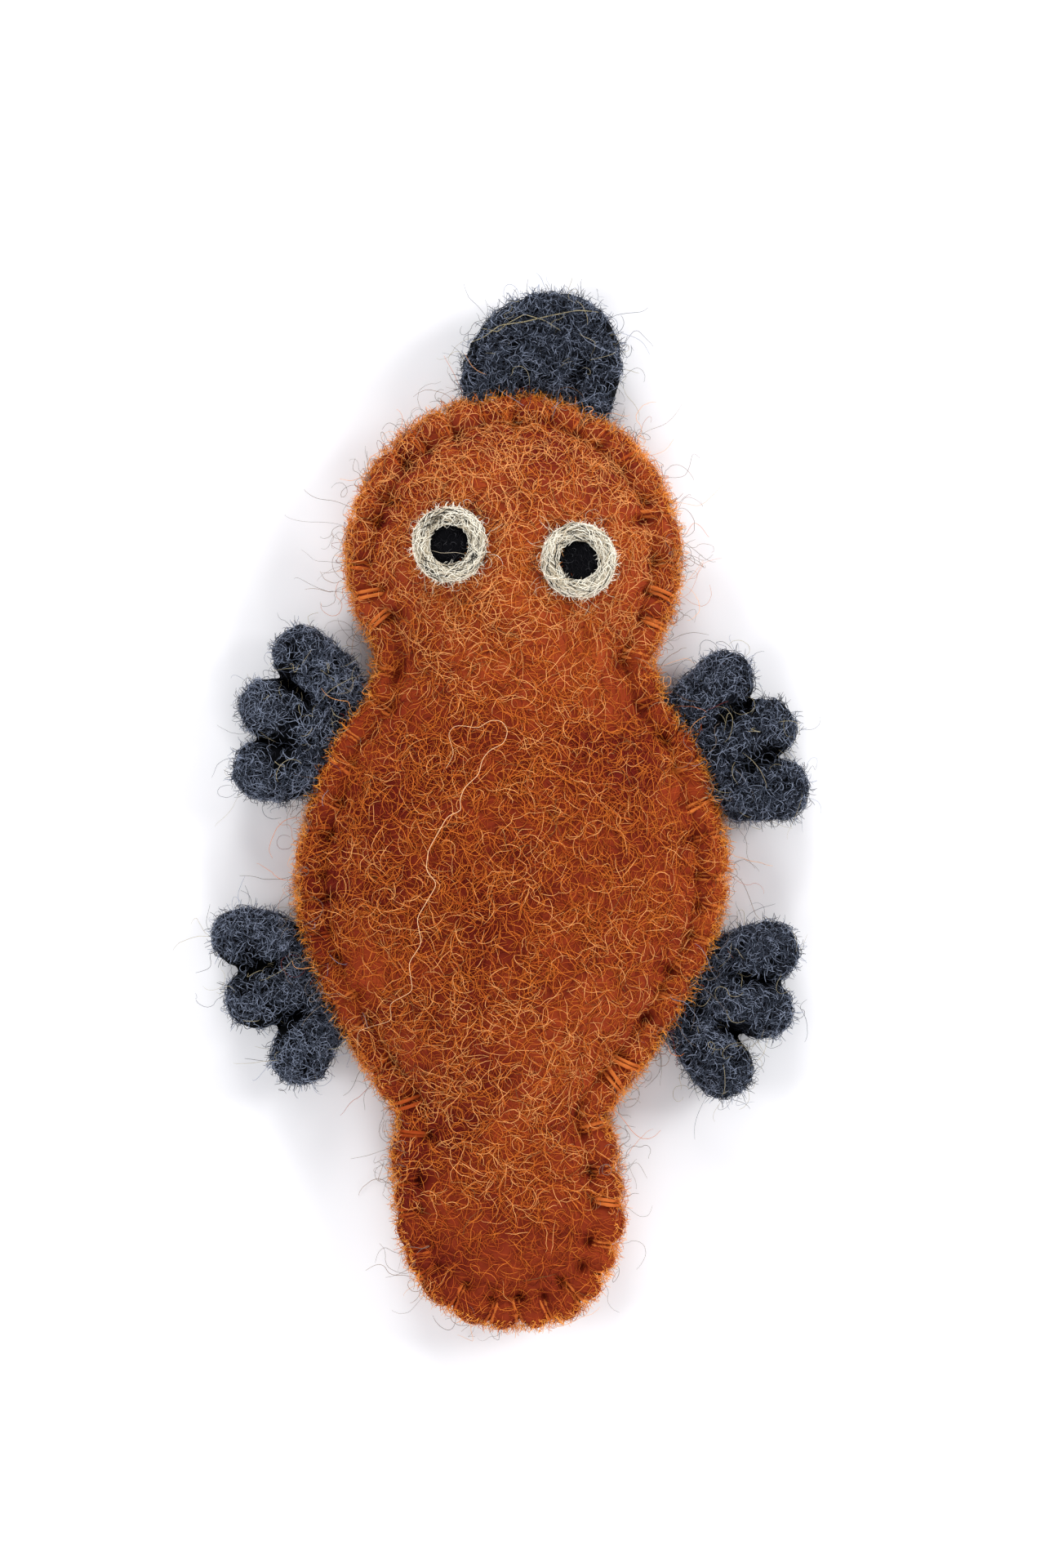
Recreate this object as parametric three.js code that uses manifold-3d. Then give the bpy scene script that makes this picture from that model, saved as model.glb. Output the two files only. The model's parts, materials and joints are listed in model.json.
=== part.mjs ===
// A wool-felt finger puppet of a platypus, lying on its back panel.
// Two felt panels are whipstitched together round their edge and leave a finger pocket between them.
// The bill and the four feet are thick felt, tucked between the panels and caught by the same seam.
// Millimetres, +Z up out of the front panel, +Y towards the bill.
import * as THREE from "three";
import { mergeVertices } from "three/addons/utils/BufferGeometryUtils.js";
import Module from "manifold-3d";

const wasm = await Module();
wasm.setup();

// ---------------------------------------------------------------- driving dimensions

// The panels' outline: three ovals on the midline, melted into one curve.
const HEAD = { y: 31, rx: 20.3, ry: 20.3 };
const TORSO = { y: -8.5, rx: 26.2, ry: 29 };
const TAIL = { y: -45.5, rx: 14.1, ry: 18 };
const MELT_POWER = 3; // lower fills the neck and the waist more

const FELT = 2.5; // thickness of a body panel
const GAP = 0.3; // between touching pieces
const SEAM_Z = 3.75; // the plane where the panels meet
const SEAM_WIDTH = 4; // the flat, stitched border
const POCKET_RISE = 0.25; // height of the pocket's dome as a share of the half width
const TAIL_RISE = 0.8; // the tail is sewn nearly flat
const BELLY_DROP = 1.1; // how far the back panel bulges below its border

// The finger goes in through the back, between the hem of the upper back and the tail.
const HEM_Y = -31;
const TAIL_BACK_Y = -43;

// Where the puppet bends: the felt turns about these lines, which run along X.
const NECK = { y: 13, z: 5.4, radius: 7 };
const WAIST = { y: -37, z: 5, radius: 4 };

const HEAD_TILT = THREE.MathUtils.degToRad(-7.5); // the face is sewn on a little askew

const TAB = { thickness: 2.4, tuck: 5, width: 14, hingeOut: 1.2 };
const TOE = { radius: 3.9, thickness: 5.2, spread: 7.5, side: 5.2, middle: 7.6 };
const PALM = { x: 4.2, rx: 3.4, ry: 8.4, thickness: 4.8 };
const FOOT_DROOP = THREE.MathUtils.degToRad(5); // the toes hang down to the table
const FEET = {
  front_left: { y: 8.7, side: -1, splay: 25 },
  front_right: { y: 7.1, side: 1, splay: 24 },
  rear_left: { y: -20.9, side: -1, splay: -20 },
  rear_right: { y: -22.1, side: 1, splay: -24 },
};

const BILL = { radius: 9.7, centre: 22.9, thickness: 4.4, tabWidth: 17 };

const EYE = { apart: 15.9, forward: 0.6, outer: 4.6, inner: 2.7, height: 1.5 };
const PUPIL = { radius: 2.4, height: 0.9 };

const THREAD = { thickness: 0.65, width: 0.7, reach: 3.2, spacing: 4.6 };

// ---------------------------------------------------------------- materials

const felt = (color) =>
  new THREE.MeshStandardMaterial({ color, roughness: 0.95, metalness: 0 });
const rustFelt = felt(0xa85a24);
const greyFelt = felt(0x3b3f4c);
const creamFelt = felt(0xd9d3c2);
const blackFelt = felt(0x0d0d10);
const rustThread = new THREE.MeshStandardMaterial({
  color: 0xb5602b,
  roughness: 0.7,
  metalness: 0,
});

// ---------------------------------------------------------------- solids

const SLIVER = 0.01;

// A closed geometry as a manifold solid, which can be cut and joined.
function solid(geometry) {
  const bare = new THREE.BufferGeometry().setAttribute(
    "position",
    (geometry.index ? geometry.toNonIndexed() : geometry).getAttribute("position"),
  );
  const merged = mergeVertices(bare, 1e-4);
  return new wasm.Manifold(
    new wasm.Mesh({
      numProp: 3,
      vertProperties: merged.attributes.position.array,
      triVerts: new Uint32Array(merged.index.array),
    }),
  );
}

// Back to a geometry, without the slivers that cutting leaves.
function geometryOf(manifold) {
  const mesh = manifold.asOriginal().simplify(SLIVER).getMesh();
  return new THREE.BufferGeometry()
    .setAttribute("position", new THREE.BufferAttribute(mesh.vertProperties, 3))
    .setIndex(new THREE.BufferAttribute(mesh.triVerts, 1));
}

function joined(solids) {
  return solids.reduce((all, next) => all.add(next));
}

const puppet = new THREE.Group();

function addPiece(name, manifold, material) {
  const mesh = new THREE.Mesh(geometryOf(manifold), material);
  mesh.name = name;
  puppet.add(mesh);
}

// ---------------------------------------------------------------- outline

const ovalHalfWidth = (oval, y) =>
  oval.rx * Math.sqrt(Math.max(0, 1 - ((y - oval.y) / oval.ry) ** 2));

function halfWidth(y) {
  const melted = [HEAD, TORSO, TAIL]
    .map((oval) => ovalHalfWidth(oval, y) ** MELT_POWER)
    .reduce((sum, w) => sum + w);
  return melted ** (1 / MELT_POWER);
}

const END_WIDTH = 1.5; // half width at which the outline's two ends are closed off
const capEnd = (oval, sign) =>
  oval.y + sign * oval.ry * Math.sqrt(1 - (END_WIDTH / oval.rx) ** 2);
const TOP_Y = capEnd(HEAD, 1);
const BOTTOM_Y = capEnd(TAIL, -1);

// From 0 at the top of the head to 1 at the tip of the tail, closer together at both ends.
const stationY = (v) =>
  (TOP_Y + BOTTOM_Y) / 2 + ((TOP_Y - BOTTOM_Y) / 2) * Math.cos(Math.PI * v);

const EDGE_SAMPLES = 240;
const edgePoints = [];
for (let i = 0; i <= EDGE_SAMPLES; i++) {
  const y = stationY(i / EDGE_SAMPLES);
  edgePoints.push(new THREE.Vector2(halfWidth(y), y));
}

// The outline is the same on both sides, so the nearest point of the right edge is enough.
function edgeDistance(x, y) {
  const here = new THREE.Vector2(Math.abs(x), y);
  return Math.min(...edgePoints.map((p) => p.distanceTo(here)));
}

// A point of the edge with its outward direction.
function edgeAt(y, side) {
  const step = 0.5;
  const slope = (halfWidth(y + step) - halfWidth(y - step)) / (2 * step);
  return {
    x: side * halfWidth(y),
    y,
    out: new THREE.Vector2(side, -slope).normalize(),
  };
}

// ---------------------------------------------------------------- body panels

// 0 on the stitched border, rising to 1 along the middle of the pocket.
function dome(x, y) {
  const reach = halfWidth(THREE.MathUtils.clamp(y, TAIL.y, HEAD.y));
  const inside = (edgeDistance(x, y) - SEAM_WIDTH) / (reach - SEAM_WIDTH);
  const t = THREE.MathUtils.clamp(inside, 0, 1);
  return (1 - (1 - t) ** 2) ** 0.75;
}

function pocketHeight(x, y) {
  const full = THREE.MathUtils.smoothstep(y, TAIL_BACK_Y - 2, HEM_Y + 2);
  const reach = halfWidth(Math.min(y, HEAD.y));
  return THREE.MathUtils.lerp(TAIL_RISE, POCKET_RISE * reach, full) * dome(x, y);
}

const bellyDrop = (x, y) =>
  BELLY_DROP *
  THREE.MathUtils.smoothstep(edgeDistance(x, y), SEAM_WIDTH, SEAM_WIDTH * 2);

const frontInside = (x, y) => SEAM_Z + GAP / 2 + pocketHeight(x, y);
const frontOutside = (x, y) => frontInside(x, y) + FELT;
const backInside = (x, y) => SEAM_Z - GAP / 2 - bellyDrop(x, y);
const backOutside = (x, y) => backInside(x, y) - FELT;

// The share of the half width at a box's across coordinate, closer together towards the edge.
const stationX = (u) => Math.sign(u) * (1 - (1 - Math.abs(u)) ** 1.5);

// A segmented box bent into a panel: its length follows the outline from head to tail.
function panelSolid(lower, upper, across, along) {
  const box = new THREE.BoxGeometry(2, 1, 1, across, along, 1);
  const at = box.attributes.position;
  for (let i = 0; i < at.count; i++) {
    const y = stationY(0.5 - at.getY(i));
    const x = stationX(at.getX(i)) * halfWidth(y);
    at.setXYZ(i, x, y, at.getZ(i) > 0 ? upper(x, y) : lower(x, y));
  }
  return solid(box);
}

const BIG = 200;
const slab = (yFrom, yTo) =>
  solid(new THREE.BoxGeometry(BIG, yTo - yFrom, BIG).translate(0, (yFrom + yTo) / 2, 0));

function barAlongX(bend, radius) {
  const bar = new THREE.CylinderGeometry(radius, radius, BIG, 48);
  return solid(bar.rotateZ(Math.PI / 2).translate(0, bend.y, bend.z));
}

// The torso's share of a panel ends in a round lip about each bend, and the moving share in a
// matching hollow, so the wall stays closed as it turns.
const torsoSide = (clearance) =>
  slab(WAIST.y, NECK.y)
    .add(barAlongX(NECK, NECK.radius + clearance))
    .add(barAlongX(WAIST, WAIST.radius + clearance));
const torsoShare = (panel) => panel.intersect(torsoSide(-GAP / 2));
const headShare = (panel) =>
  panel.intersect(slab(NECK.y, BIG)).subtract(torsoSide(GAP / 2));
const tailShare = (panel) =>
  panel.intersect(slab(-BIG, WAIST.y)).subtract(torsoSide(GAP / 2));

// ---------------------------------------------------------------- tucked tabs

// Each foot and the bill turn about a line just outside the panels' edge. In this frame +X points
// out of the body, Y runs along the edge and the line is the Y axis.
function tabSolid(width, tuck, grow) {
  const length = TAB.hingeOut + tuck + grow;
  const plate = new THREE.BoxGeometry(
    length,
    width + 2 * grow,
    TAB.thickness + 2 * grow,
  ).translate(-length / 2 + grow, 0, 0);
  return solid(plate);
}

const seat = (width) =>
  solid(new THREE.CylinderGeometry(TAB.thickness / 2 + GAP, TAB.thickness / 2 + GAP, width, 24));

// The round root that turns in the tab's seat, and the flat neck that leads out to the thick felt.
function rootSolid(width, neckLength) {
  const root = new THREE.CylinderGeometry(TAB.thickness / 2, TAB.thickness / 2, width, 24);
  const neck = new THREE.BoxGeometry(neckLength, width, TAB.thickness).translate(
    neckLength / 2,
    0,
    0,
  );
  return solid(root).add(solid(neck));
}

const placement = (x, y, z, turn, droop = 0) =>
  new THREE.Matrix4()
    .makeTranslation(x, y, z)
    .multiply(new THREE.Matrix4().makeRotationZ(turn))
    .multiply(new THREE.Matrix4().makeRotationY(droop));

const placed = (manifold, matrix) => manifold.transform(matrix.elements);

// ---------------------------------------------------------------- feet

function ovalBall(x, y, rx, ry, rz) {
  return solid(new THREE.SphereGeometry(1, 14, 8).scale(rx, ry, rz).translate(x, y, 0));
}

function toeSolid(x, y) {
  const heel = new THREE.Vector2(PALM.x, y * 0.55);
  const run = new THREE.Vector2(x, y).sub(heel);
  const toe = new THREE.CapsuleGeometry(TOE.radius, run.length(), 3, 12)
    .rotateZ(run.angle() - Math.PI / 2)
    .scale(1, 1, TOE.thickness / (2 * TOE.radius))
    .translate(heel.x + run.x / 2, heel.y + run.y / 2, 0);
  return solid(toe);
}

function footSolid() {
  const toes = [
    toeSolid(TOE.side, -TOE.spread),
    toeSolid(TOE.middle, 0),
    toeSolid(TOE.side, TOE.spread),
  ];
  const palm = ovalBall(PALM.x, 0, PALM.rx, PALM.ry, PALM.thickness / 2);
  const clearOfTheSeam = solid(
    new THREE.BoxGeometry(BIG, BIG, BIG).translate(BIG / 2 + 1.6, 0, 0),
  );
  return joined([palm, ...toes])
    .intersect(clearOfTheSeam)
    .add(rootSolid(TAB.width - 2, PALM.x));
}

function footPlace({ y, side, splay }, droop) {
  const edge = edgeAt(y, side);
  const turn = THREE.MathUtils.degToRad(side > 0 ? splay : 180 - splay);
  return placement(
    edge.x + edge.out.x * TAB.hingeOut,
    edge.y + edge.out.y * TAB.hingeOut,
    SEAM_Z,
    turn,
    droop,
  );
}

// ---------------------------------------------------------------- bill

// In the bill's frame +X points away from the head's centre.
const BILL_HINGE = HEAD.ry + TAB.hingeOut;
const billPlace = placement(
  -Math.sin(HEAD_TILT) * BILL_HINGE,
  HEAD.y + Math.cos(HEAD_TILT) * BILL_HINGE,
  SEAM_Z,
  Math.PI / 2 + HEAD_TILT,
);

function billSolid() {
  const rounding = 1.4;
  const start = 1.6;
  const middle = BILL.centre - BILL_HINGE;
  const radius = BILL.radius - rounding;
  const corner = Math.acos((start + rounding - middle) / radius);
  const shape = new THREE.Shape();
  shape.absarc(middle, 0, radius, -corner, corner, false);
  const blade = new THREE.ExtrudeGeometry(shape, {
    depth: BILL.thickness - 2 * rounding,
    bevelThickness: rounding,
    bevelSize: rounding,
    bevelSegments: 2,
    curveSegments: 20,
  }).translate(0, 0, rounding - BILL.thickness / 2);
  return solid(blade).add(rootSolid(BILL.tabWidth - 1, start + rounding + 1));
}

// ---------------------------------------------------------------- eyes

const EYE_Z_STEP = 1;

// The front panel's height and slope at a point, as a frame that lies on the felt.
function onFront(x, y) {
  const z = frontOutside(x, y);
  const slopeX = (frontOutside(x + EYE_Z_STEP, y) - frontOutside(x - EYE_Z_STEP, y)) / 2;
  const slopeY = (frontOutside(x, y + EYE_Z_STEP) - frontOutside(x, y - EYE_Z_STEP)) / 2;
  const up = new THREE.Vector3(-slopeX, -slopeY, 1).normalize();
  const turn = new THREE.Quaternion().setFromUnitVectors(new THREE.Vector3(0, 0, 1), up);
  return new THREE.Matrix4().compose(
    new THREE.Vector3(x, y, z).addScaledVector(up, GAP),
    turn,
    new THREE.Vector3(1, 1, 1),
  );
}

function eyePlace(side) {
  const along = (side * EYE.apart) / 2;
  return onFront(
    along * Math.cos(HEAD_TILT) - EYE.forward * Math.sin(HEAD_TILT),
    HEAD.y + along * Math.sin(HEAD_TILT) + EYE.forward * Math.cos(HEAD_TILT),
  );
}

// A ring with a rounded top, turned about its own axis.
function eyeWhite() {
  const middle = (EYE.inner + EYE.outer) / 2;
  const half = (EYE.outer - EYE.inner) / 2;
  const flat = EYE.height - half;
  const profile = [new THREE.Vector2(EYE.inner, 0), new THREE.Vector2(EYE.outer, 0)];
  for (let i = 0; i <= 4; i++) {
    const a = (Math.PI * i) / 4;
    profile.push(new THREE.Vector2(middle + half * Math.cos(a), flat + half * Math.sin(a)));
  }
  profile.push(profile[0].clone());
  return solid(new THREE.LatheGeometry(profile, 24).rotateX(Math.PI / 2));
}

const pupil = () =>
  solid(
    new THREE.CylinderGeometry(PUPIL.radius, PUPIL.radius, PUPIL.height, 24)
      .rotateX(Math.PI / 2)
      .translate(0, 0, PUPIL.height / 2),
  );

// ---------------------------------------------------------------- whipstitching

// One stitch over the edge: in the plane of the edge's outward direction and Z it is a C.
function stitchSolid(edge) {
  const near = GAP;
  const far = GAP + THREAD.thickness;
  const half = FELT + GAP / 2;
  const c = new THREE.Shape([
    new THREE.Vector2(-THREAD.reach, half + near),
    new THREE.Vector2(near, half + near),
    new THREE.Vector2(near, -half - near),
    new THREE.Vector2(-THREAD.reach, -half - near),
    new THREE.Vector2(-THREAD.reach, -half - far),
    new THREE.Vector2(far, -half - far),
    new THREE.Vector2(far, half + far),
    new THREE.Vector2(-THREAD.reach, half + far),
  ]);
  const loop = new THREE.ExtrudeGeometry(c, { depth: THREAD.width, bevelEnabled: false })
    .translate(0, 0, -THREAD.width / 2)
    .rotateX(Math.PI / 2)
    .rotateZ(Math.atan2(edge.out.y, edge.out.x))
    .translate(edge.x, edge.y, SEAM_Z);
  return solid(loop);
}

// A row of stitches with the run of thread that leads from one to the next along the edge.
function stitchRow(edges) {
  const out = GAP + THREAD.thickness / 2;
  const path = new THREE.CatmullRomCurve3(
    edges.map((e) => new THREE.Vector3(e.x + e.out.x * out, e.y + e.out.y * out, SEAM_Z)),
  );
  const half = THREAD.thickness / 2 - 0.02;
  const section = new THREE.Shape([
    new THREE.Vector2(-half, -half),
    new THREE.Vector2(half, -half),
    new THREE.Vector2(half, half),
    new THREE.Vector2(-half, half),
  ]);
  const run = new THREE.ExtrudeGeometry(section, {
    steps: (edges.length - 1) * 3,
    extrudePath: path,
  });
  return joined([solid(run), ...edges.map(stitchSolid)]);
}

// Evenly spaced places on an oval's edge, at angles measured from +Y towards -X.
function ovalEdges(oval, from, to) {
  const sweep = to - from;
  const length = (Math.abs(sweep) * (oval.rx + oval.ry)) / 2;
  const count = Math.round(length / THREAD.spacing);
  return Array.from({ length: count + 1 }, (_, i) => {
    const a = from + (sweep * i) / count;
    return {
      x: -oval.rx * Math.sin(a),
      y: oval.y + oval.ry * Math.cos(a),
      out: new THREE.Vector2(-Math.sin(a) / oval.rx, Math.cos(a) / oval.ry).normalize(),
    };
  });
}

function sideEdges(side, from, to) {
  const count = Math.max(1, Math.round(Math.abs(to - from) / THREAD.spacing));
  return Array.from({ length: count + 1 }, (_, i) =>
    edgeAt(THREE.MathUtils.lerp(from, to, i / count), side),
  );
}

// ---------------------------------------------------------------- assembly

const frontPanel = panelSolid(frontInside, frontOutside, 14, 44);
const backPanel = panelSolid(backOutside, backInside, 10, 36);

const footTabs = Object.entries(FEET).map(([name, foot]) => ({
  name,
  flat: footPlace(foot, 0),
  drooped: footPlace(foot, FOOT_DROOP),
}));

// The felt of both panels gives way round every tab.
const recesses = joined([
  ...footTabs.map((f) => placed(tabSolid(TAB.width, TAB.tuck, GAP), f.flat)),
  placed(tabSolid(BILL.tabWidth, TAB.tuck, GAP), billPlace),
]);
const front = frontPanel.subtract(recesses);
const back = backPanel.subtract(recesses);

addPiece("front_panel_head", headShare(front), rustFelt);
addPiece("front_panel_torso", torsoShare(front), rustFelt);
addPiece("front_panel_tail", tailShare(front), rustFelt);
addPiece("back_panel_head", headShare(back), rustFelt);
addPiece("back_panel_torso", torsoShare(back).intersect(slab(HEM_Y, BIG)), rustFelt);
addPiece("back_panel_tail", back.intersect(slab(-BIG, TAIL_BACK_Y)), rustFelt);

for (const { name, flat, drooped } of footTabs) {
  const tab = tabSolid(TAB.width, TAB.tuck, 0).subtract(seat(TAB.width + 2));
  addPiece(`foot_tab_${name}`, placed(tab, flat), greyFelt);
  addPiece(`foot_${name}`, placed(footSolid(), drooped), greyFelt);
}

const billTab = tabSolid(BILL.tabWidth, TAB.tuck, 0).subtract(seat(BILL.tabWidth + 2));
addPiece("bill_tab", placed(billTab, billPlace), greyFelt);
addPiece("bill", placed(billSolid(), billPlace), greyFelt);

for (const [name, side] of [["left", -1], ["right", 1]]) {
  addPiece(`eye_white_${name}`, placed(eyeWhite(), eyePlace(side)), creamFelt);
  addPiece(`pupil_${name}`, placed(pupil(), eyePlace(side)), blackFelt);
}

// The rows start clear of the bill, the feet and the bends.
const billSpread = (BILL.tabWidth / 2 + 2.2) / HEAD.ry;
const cheek = THREE.MathUtils.degToRad(112);
const rows = {
  stitches_head_left: ovalEdges(HEAD, billSpread + HEAD_TILT, cheek),
  stitches_head_right: ovalEdges(HEAD, -billSpread + HEAD_TILT, -cheek),
  stitches_side_left: sideEdges(-1, -0.5, -12),
  stitches_side_right: sideEdges(1, -2, -13),
  stitches_hip_left: sideEdges(-1, -29.6, -33),
  stitches_hip_right: sideEdges(1, -30.6, -33),
  stitches_tail: ovalEdges(TAIL, Math.PI * 0.47, Math.PI * 1.53),
};
for (const [name, edges] of Object.entries(rows)) {
  addPiece(name, stitchRow(edges), rustThread);
}

// The origin is on the table, under the middle of the puppet.
const bounds = new THREE.Box3().setFromObject(puppet, true);
const middle = bounds.getCenter(new THREE.Vector3());
puppet.position.set(-middle.x, -middle.y, -bounds.min.z);

export default puppet;
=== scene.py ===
"""Looks of a felt platypus finger puppet, lying on its back on a pale table.

Lengths are in millimetres in the puppet's own frame, whose origin is on the midline of the
sewing pattern: +X to the right, +Y towards the bill, +Z up. place() turns them into metres in
the row frame.
"""
import json
import math

import bmesh
import bpy
import numpy as np
from mathutils import Matrix, Vector, kdtree, noise
from mathutils.bvhtree import BVHTree


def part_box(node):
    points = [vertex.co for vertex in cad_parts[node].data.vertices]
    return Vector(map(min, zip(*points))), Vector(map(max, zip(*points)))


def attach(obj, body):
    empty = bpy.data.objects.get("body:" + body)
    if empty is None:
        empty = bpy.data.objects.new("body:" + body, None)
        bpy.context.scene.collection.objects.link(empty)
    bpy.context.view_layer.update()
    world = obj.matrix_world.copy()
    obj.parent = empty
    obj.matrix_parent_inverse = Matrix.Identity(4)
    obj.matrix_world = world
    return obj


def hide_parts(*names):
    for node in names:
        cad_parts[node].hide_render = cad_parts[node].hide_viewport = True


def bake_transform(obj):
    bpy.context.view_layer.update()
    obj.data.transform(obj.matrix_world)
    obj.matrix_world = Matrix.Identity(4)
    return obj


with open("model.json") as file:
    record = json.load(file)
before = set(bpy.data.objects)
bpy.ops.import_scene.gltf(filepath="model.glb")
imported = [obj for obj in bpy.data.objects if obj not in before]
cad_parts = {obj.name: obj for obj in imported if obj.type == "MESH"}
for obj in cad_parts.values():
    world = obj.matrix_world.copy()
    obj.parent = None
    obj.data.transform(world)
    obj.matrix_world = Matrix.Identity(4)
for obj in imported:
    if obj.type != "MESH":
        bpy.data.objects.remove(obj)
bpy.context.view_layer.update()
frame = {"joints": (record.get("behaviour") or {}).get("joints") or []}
scene = bpy.context.scene
joints = {j["name"]: j for j in frame["joints"]}

# ------------ driving dimensions

MM = 0.001
NECK_Y = 13.0
WAIST_Y = -37.0
NECK_POINT = Vector(joints["head_nod"]["pos_m"])
ORIGIN = np.array([NECK_POINT.x, NECK_POINT.y - NECK_Y * MM, 0.0])

HEAD = {"y": 31.0, "rx": 20.3, "ry": 19.9, "power": 2.0}
TORSO = {"y": -8.5, "rx": 26.2, "ry": 29.0, "power": 2.0}
TAIL = {"y": -45.5, "rx": 13.7, "ry": 17.4, "power": 2.4}
MELT_POWER = 3.0
TOP_Y = HEAD["y"] + HEAD["ry"]
BOTTOM_Y = TAIL["y"] - TAIL["ry"]
EDGE_POINTS = 1500
# Painted light: the wool is made paler on the head and the hips, where more light falls, and a little
# darker elsewhere: height, and how much of its colour it keeps.
PAINTED_LIGHT_Y = (-64.0, -45.0, -30.0, -12.0, 10.0, 26.0, 50.0)
PAINTED_LIGHT = (0.95, 1.05, 1.15, 0.95, 0.95, 1.3, 1.4)
# Where the sewing draws the outline out or in: height, reach along the body, how far.
NUDGES = ((10.0, 4.5, 1.0), (-23.0, 9.0, -0.65))
MIDLINE_Y = (-64.0, -57.0, -50.0, -37.0, -20.0, 0.0, 20.0, 28.0, 50.0)
MIDLINE_X = (0.8, 0.0, -0.1, -1.15, -0.4, 0.35, 0.5, 0.25, 0.25)

FELT = 2.5
EDGE_RADIUS = 2.2
SEAM_Z = 3.75
SEAM_WIDTH = 3.6
POCKET_RISE = 0.25
TAIL_RISE = 1.0
BELLY_DROP = 1.1
HEM_Y = -31.0
TAIL_BACK_Y = -43.0
PANEL_SPLIT_Y = -12.0
# Rows and columns of points over the whole front and over the whole back.
FRONT_GRID = (440, 150)
BACK_GRID = (260, 90)

STITCH_PITCH = 4.5
DENT_DEPTH_IN = 4.1
STRAND_RADIUS = 0.24
STRAND_APART = 0.34
SCALLOP = 0.42
# Where the yarn lies bare on the felt instead of sunk in it: middle and reach.
BARE_YARN = (
    (-19.5, 25.0, 5.5),
    (20.0, 24.0, 4.5),
    (12.5, -49.0, 3.5),
    (14.0, -33.0, 5.0),
    (-13.0, -37.0, 3.0),
)

EYE_OUTER = 4.4
EYE_INNER = 2.5
RING_RISE = 0.5
RING_THICK = 0.85
RING_MIDDLE = (EYE_OUTER + EYE_INNER) / 2
RING_HALF = (EYE_OUTER - EYE_INNER) / 2
PUPIL_RISE = 0.95
EYE_SHIFT = {"left": (0.6, -0.5), "right": (0.0, -0.3)}

# Each foot's toes in its own frame: distance out from the seam, and along it.
TOES = {
    "front_left": ((7.6, -7.3), (8.6, 0.2), (6.1, 7.4)),
    "front_right": ((6.4, 6.3), (8.8, -1.0), (7.2, -8.5)),
    "rear_left": ((6.0, -8.3), (7.1, -0.8), (4.1, 7.6)),
    "rear_right": ((4.9, 8.0), (7.1, 1.2), (5.5, -7.3)),
}
TOE_RADIUS = 3.75
TOE_THICKNESS = 5.6
SLIT_LENGTH = 3.6
SLIT_DEPTH = 1.5
DROOP = math.radians(4)
BILL_RADIUS = 9.65
BILL_ROUND = 2.3
MELT_VOXEL = 0.42
# Half a length either side of each foot's seam, for two points along it that nothing uses.
FLAP_BEND = 2.0

# Each layer of the front's mat: tones, lift off the felt, length, radius, fibres to a square mm.
MAT_LAYERS = {
    "under": ((0.0, 0.28, 0.47, 0.25), (0.0, 0.2), (2.0, 4.5), (0.032, 0.05), 2.0),
    "top": ((0.17, 0.56, 0.23, 0.03, 0.01), (0.1, 0.6), (2.0, 5.0), (0.026, 0.044), 3.1),
}
# Below this the wool is worn thin and dark.
WORN_Y = -46.0
GREY_TONES = {"left": (0.40, 0.42, 0.18), "right": (0.26, 0.46, 0.28)}
EDGE_FUZZ = 15000
EDGE_STRAYS = 900
FOOT_FIBRES = 2200
BILL_FIBRES = 3000
RING_STRANDS = 460
RING_FUZZ = 600
EYE_HAIRS = 100
PUPIL_FIBRES = 160
# One long pale fibre that loops at the left shoulder and wanders down to the hip.
LONG_FIBRE = (
    (-7.8, 5.2), (-6.8, 7.0), (-7.6, 9.4), (-6.8, 10.4), (-5.2, 10.3), (-3.9, 10.0), (-2.6, 11.0),
    (-1.1, 11.0), (-0.3, 9.8), (-0.8, 8.2), (-2.6, 7.4), (-3.5, 6.2), (-3.8, 4.5), (-5.6, 2.9),
    (-6.2, 1.2), (-5.8, 0.2),
    (-7.6, -0.5), (-9.9, -4.6), (-10.2, -7.0), (-8.8, -8.6), (-11.3, -12.8), (-10.7, -15.8),
    (-12.3, -18.2), (-11.8, -21.6), (-14.7, -23.2), (-14.4, -25.3), (-18.7, -26.7), (-18.6, -28.4),
)
# Loose strands lying over the bill, in its seam's own frame: out from the head, and along.
BILL_STRANDS = (
    ((4.0, 8.2), (4.6, 6.8), (6.3, 5.0), (7.0, 2.4), (8.2, -0.8), (9.3, -4.0), (9.6, -6.8)),
    ((5.8, 7.2), (5.4, 5.2), (6.6, 4.2), (8.0, 2.2), (7.6, -0.2), (6.6, -2.4)),
    ((7.4, -4.2), (5.8, -5.6), (5.0, -7.6), (4.8, -9.4)),
)

# The table, the lights and the camera, in metres.
TABLE_HALF = 2
LIGHT_HEIGHT = 0.34
LIGHT_SIZE = 0.4
# Each light's side of the table, its place there and its power.
LIGHTS = (
    ("right", 0.8, 0.25, 6.4),
    ("top", -0.1, 0.85, 5.8),
    ("left", -0.8, -0.1, 4.0),
    ("foot", 0.15, -0.85, 4.6),
)
VIEW_LENGTH = 0.192
LENS = 75.0
SENSOR = 36.0

rng = np.random.default_rng(7)


def place(points):
    """Millimetres in the puppet's frame to metres in the row frame."""
    return np.asarray(points, float) * MM + ORIGIN


def smoothstep(t):
    t = np.clip(t, 0, 1)
    return t * t * (3 - 2 * t)


# ------------ materials


def new_material(name):
    material = bpy.data.materials.new(name)
    material.use_nodes = True
    tree = material.node_tree
    return material, tree, tree.nodes["Principled BSDF"]


def plain_fibres(colours):
    """One plain wool material to each name and colour."""
    made = []
    for name, colour in colours.items():
        material, _, shader = new_material(name)
        shader.inputs["Base Color"].default_value = (*colour, 1)
        shader.inputs["Roughness"].default_value = 0.65
        shader.inputs["Specular IOR Level"].default_value = 0.1
        made.append(material)
    return made


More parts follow.
